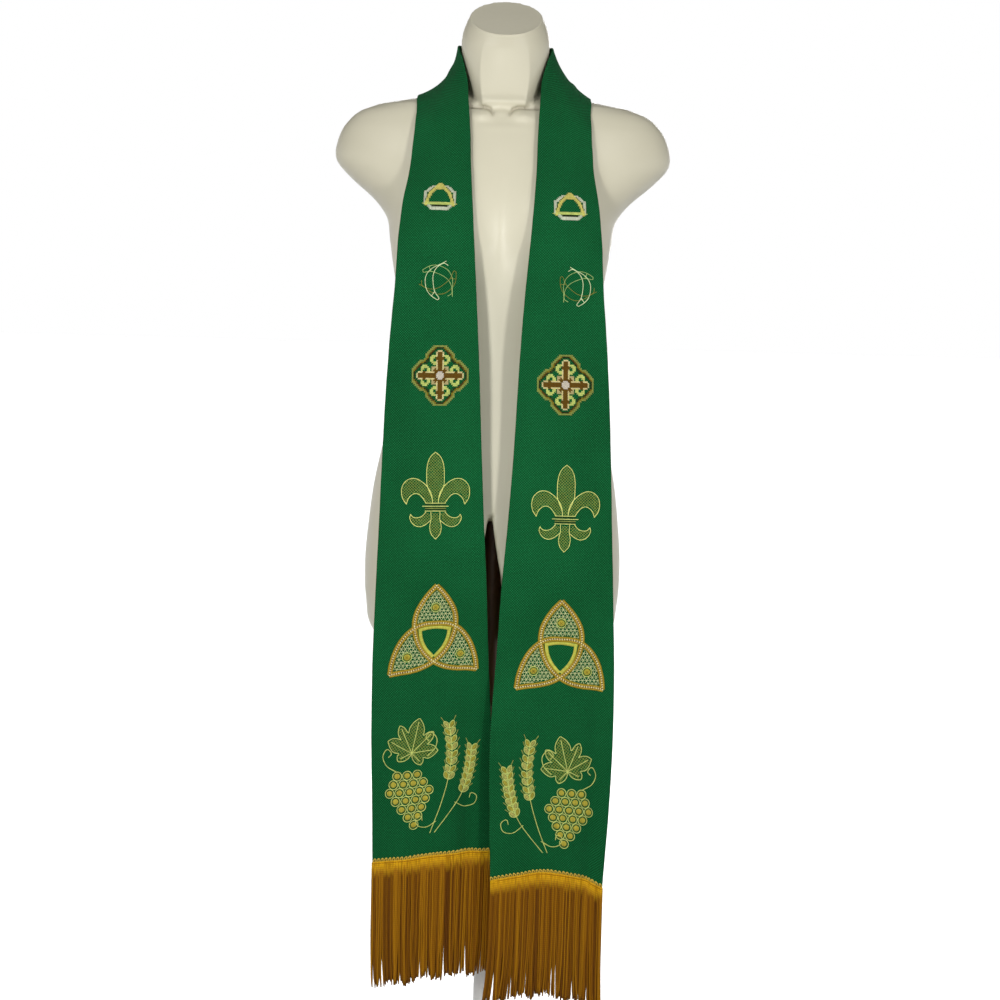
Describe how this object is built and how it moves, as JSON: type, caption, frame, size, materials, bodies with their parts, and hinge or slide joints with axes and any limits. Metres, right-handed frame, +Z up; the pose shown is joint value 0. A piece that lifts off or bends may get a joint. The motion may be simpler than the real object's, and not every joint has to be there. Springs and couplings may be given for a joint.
{
  "type": "clerical stole on dress form",
  "caption": "Green clerical stole with embroidered fronts and gold fringe, hung round the neck of a limbless dress form on a round stand.",
  "frame": {"origin": "centre of the stand's round base, on its underside", "axes": "+Z up; the form faces -Y, so the front hems of the stole hang at -Y; +X is the wearer's left"},
  "size_m": [0.422, 0.31, 1.3807],
  "materials": {
    "stole_cloth": "dense green evenweave cloth with embroidery, matt with a faint sheen",
    "fringe_thread": "old gold twisted rayon fringe under a brighter gold header braid",
    "form_plastic": "cream moulded plastic, softly glossy",
    "stand_metal": "very dark brown satin powder coat"
  },
  "bodies": {
    "root": {"panel_left": "stole_cloth", "panel_right": "stole_cloth", "fringe_left": "fringe_thread", "fringe_right": "fringe_thread", "dress_form": "form_plastic", "stand_pole": "stand_metal", "stand_base": "stand_metal"}
  },
  "joints": []
}
